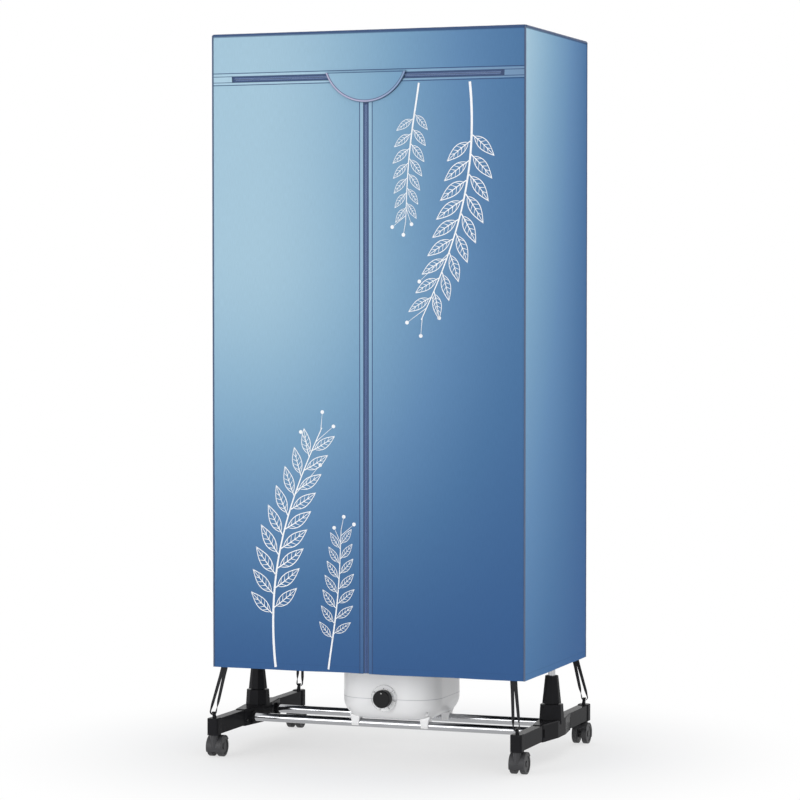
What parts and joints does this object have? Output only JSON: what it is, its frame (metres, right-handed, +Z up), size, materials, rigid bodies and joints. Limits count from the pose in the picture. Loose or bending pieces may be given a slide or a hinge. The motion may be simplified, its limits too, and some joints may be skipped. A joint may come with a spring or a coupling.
{
  "type": "wardrobe clothes dryer",
  "caption": "Free standing clothes dryer: a zipped cloth cover on a rolling tube frame with hanging rods, over a fan heater with a timer knob.",
  "frame": {"origin": "middle of the base on the floor", "axes": "+X to the user's right when facing the doors, +Y from the doors to the back, +Z up"},
  "size_m": [0.758, 0.522, 1.6],
  "materials": {
    "black_plastic": "satin",
    "caster_plastic": "satin",
    "wheel_plastic": "satin",
    "chrome_tube": "polished",
    "screw_steel": "satin",
    "white_plastic": "gloss",
    "element_alloy": "satin",
    "gland_rubber": "matte",
    "cover_cloth": "satin weave",
    "navy_trim": "woven tape",
    "zip_metal": "satin",
    "black_elastic": "woven"
  },
  "bodies": {
    "frame": {"foot_hub_left": "black_plastic", "foot_hub_right": "black_plastic", "foot_arm_front_left": "black_plastic", "foot_arm_front_right": "black_plastic", "foot_arm_rear_left": "black_plastic", "foot_arm_rear_right": "black_plastic", "arm_screws": "screw_steel", "floor_tube_front": "chrome_tube", "floor_tube_rear": "chrome_tube", "upright_lower_left": "chrome_tube", "upright_lower_right": "chrome_tube", "upright_upper_left": "chrome_tube", "upright_upper_right": "chrome_tube", "upright_collars": "black_plastic", "top_brackets": "black_plastic", "hanging_rods": "chrome_tube", "heater_lower_shell": "white_plastic", "heater_upper_shell": "white_plastic", "heater_screws": "screw_steel", "heater_tube_clips": "white_plastic", "heater_outlet_grille": "white_plastic", "heater_dial_plate": "white_plastic", "timer_body": "white_plastic", "motor_bracket": "screw_steel", "fan_motor": "screw_steel", "fan_shroud": "white_plastic", "element_holder": "white_plastic", "heating_element": "element_alloy", "thermal_cutout": "white_plastic", "cord_gland": "gland_rubber", "cover_top": "cover_cloth", "cover_back": "cover_cloth", "cover_side_left": "cover_cloth", "cover_side_right": "cover_cloth", "cover_header": "cover_cloth", "cover_piping": "navy_trim", "zip_tape_header": "navy_trim", "zip_guard": "cover_cloth", "cover_straps": "black_elastic"},
    "caster_fork_front_left": {"caster_fork_front_left": "caster_plastic"},
    "caster_wheels_front_left": {"caster_wheels_front_left": "wheel_plastic"},
    "caster_fork_front_right": {"caster_fork_front_right": "caster_plastic"},
    "caster_wheels_front_right": {"caster_wheels_front_right": "wheel_plastic"},
    "caster_fork_rear_left": {"caster_fork_rear_left": "caster_plastic"},
    "caster_wheels_rear_left": {"caster_wheels_rear_left": "wheel_plastic"},
    "caster_fork_rear_right": {"caster_fork_rear_right": "caster_plastic"},
    "caster_wheels_rear_right": {"caster_wheels_rear_right": "wheel_plastic"},
    "timer_knob": {"timer_knob": "black_plastic"},
    "fan": {"fan_rotor": "black_plastic"},
    "door_left": {"door_left": "cover_cloth", "zip_tape_left": "navy_trim"},
    "door_right": {"door_right": "cover_cloth", "zip_tape_right": "navy_trim"},
    "flap": {"zip_flap": "cover_cloth"},
    "slider_centre": {"zip_slider_centre": "zip_metal"},
    "pull_centre": {"zip_pull_centre": "zip_metal"},
    "slider_left": {"zip_slider_left": "zip_metal"},
    "pull_left": {"zip_pull_left": "zip_metal"},
    "slider_right": {"zip_slider_right": "zip_metal"},
    "pull_right": {"zip_pull_right": "zip_metal"}
  },
  "joints": [
    {"name": "swivel_front_left", "type": "hinge", "parent": "frame", "child": "caster_fork_front_left", "pos_m": [-0.353, -0.248, 0.05], "axis": [0, 0, 1], "continuous": true},
    {"name": "roll_front_left", "type": "hinge", "parent": "caster_fork_front_left", "child": "caster_wheels_front_left", "pos_m": [-0.353, -0.23, 0.0225], "axis": [1, 0, 0], "continuous": true},
    {"name": "swivel_front_right", "type": "hinge", "parent": "frame", "child": "caster_fork_front_right", "pos_m": [0.353, -0.248, 0.05], "axis": [0, 0, 1], "continuous": true},
    {"name": "roll_front_right", "type": "hinge", "parent": "caster_fork_front_right", "child": "caster_wheels_front_right", "pos_m": [0.353, -0.23, 0.0225], "axis": [1, 0, 0], "continuous": true},
    {"name": "swivel_rear_left", "type": "hinge", "parent": "frame", "child": "caster_fork_rear_left", "pos_m": [-0.353, 0.248, 0.05], "axis": [0, 0, 1], "continuous": true},
    {"name": "roll_rear_left", "type": "hinge", "parent": "caster_fork_rear_left", "child": "caster_wheels_rear_left", "pos_m": [-0.353, 0.23, 0.0225], "axis": [1, 0, 0], "continuous": true},
    {"name": "swivel_rear_right", "type": "hinge", "parent": "frame", "child": "caster_fork_rear_right", "pos_m": [0.353, 0.248, 0.05], "axis": [0, 0, 1], "continuous": true},
    {"name": "roll_rear_right", "type": "hinge", "parent": "caster_fork_rear_right", "child": "caster_wheels_rear_right", "pos_m": [0.353, 0.23, 0.0225], "axis": [1, 0, 0], "continuous": true},
    {"name": "timer_turn", "type": "hinge", "parent": "frame", "child": "timer_knob", "pos_m": [0, -0.119, 0.131], "axis": [0, 1, 0], "range_deg": [0, 300]},
    {"name": "fan_spin", "type": "hinge", "parent": "frame", "child": "fan", "pos_m": [0, 0, 0.158], "axis": [0, 0, 1], "continuous": true},
    {"name": "door_swing_left", "type": "hinge", "parent": "frame", "child": "door_left", "pos_m": [-0.316, -0.2277, 0.85], "axis": [0, 0, -1], "range_deg": [0, 115]},
    {"name": "door_swing_right", "type": "hinge", "parent": "frame", "child": "door_right", "pos_m": [0.316, -0.2277, 0.85], "axis": [0, 0, 1], "range_deg": [0, 115]},
    {"name": "flap_lift", "type": "hinge", "parent": "frame", "child": "flap", "pos_m": [0, -0.2298, 1.5083], "axis": [-1, 0, 0], "range_deg": [0, 120]},
    {"name": "slide_centre", "type": "slide", "parent": "frame", "child": "slider_centre", "axis": [0, 0, -1], "range_m": [0, 1.24]},
    {"name": "pull_swing_centre", "type": "hinge", "parent": "slider_centre", "child": "pull_centre", "pos_m": [0, -0.2293, 1.468], "axis": [0, 1, 0], "range_deg": [-80, 80]},
    {"name": "slide_left", "type": "slide", "parent": "frame", "child": "slider_left", "axis": [-1, 0, 0], "range_m": [0, 0.27]},
    {"name": "pull_swing_left", "type": "hinge", "parent": "slider_left", "child": "pull_left", "pos_m": [-0.03, -0.2293, 1.4995], "axis": [0, 1, 0], "range_deg": [-80, 80]},
    {"name": "slide_right", "type": "slide", "parent": "frame", "child": "slider_right", "axis": [1, 0, 0], "range_m": [0, 0.27]},
    {"name": "pull_swing_right", "type": "hinge", "parent": "slider_right", "child": "pull_right", "pos_m": [0.03, -0.2293, 1.4995], "axis": [0, 1, 0], "range_deg": [-80, 80]}
  ]
}
